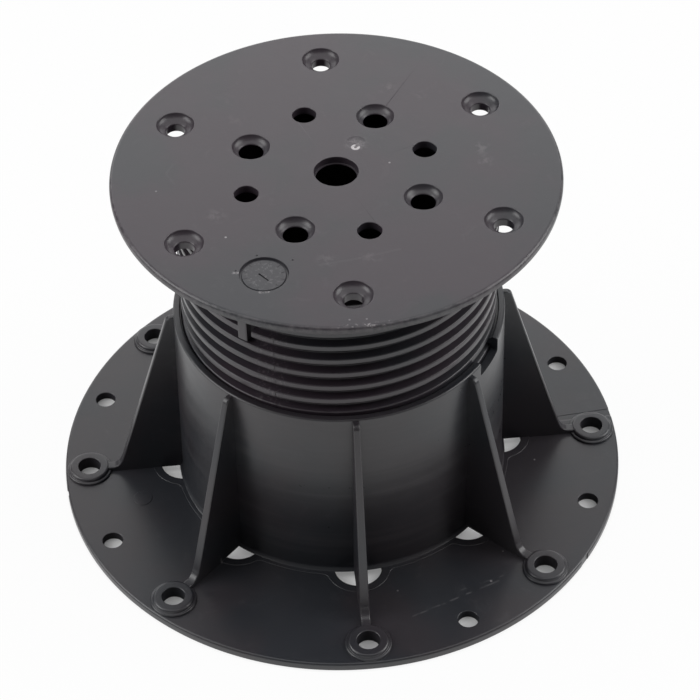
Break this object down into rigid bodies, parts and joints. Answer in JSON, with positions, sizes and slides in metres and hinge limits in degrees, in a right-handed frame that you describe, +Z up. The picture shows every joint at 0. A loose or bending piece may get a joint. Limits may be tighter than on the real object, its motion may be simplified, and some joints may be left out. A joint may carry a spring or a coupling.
{
  "type": "raised floor pedestal",
  "caption": "Adjustable plastic pedestal for a raised floor: a ribbed round base with a threaded tube, and a screw head with a drilled round plate.",
  "frame": {"origin": "centre of the underside of the base flange, on the screw's axis", "axes": "+Z up along the screw's axis; the ribs and eyelets stand at every 45 degrees from +X"},
  "size_m": [0.2, 0.2, 0.1353],
  "materials": {
    "base_plastic": "satin injection-moulded polypropylene, bluish charcoal",
    "head_plastic": "satin injection-moulded polypropylene, warm dark grey"
  },
  "bodies": {
    "base": {"base": "base_plastic"},
    "head": {"head": "head_plastic"}
  },
  "joints": [
    {"name": "head_height", "type": "slide", "parent": "base", "child": "head", "axis": [0, 0, 1], "range_m": [-0.024, 0.012]}
  ]
}
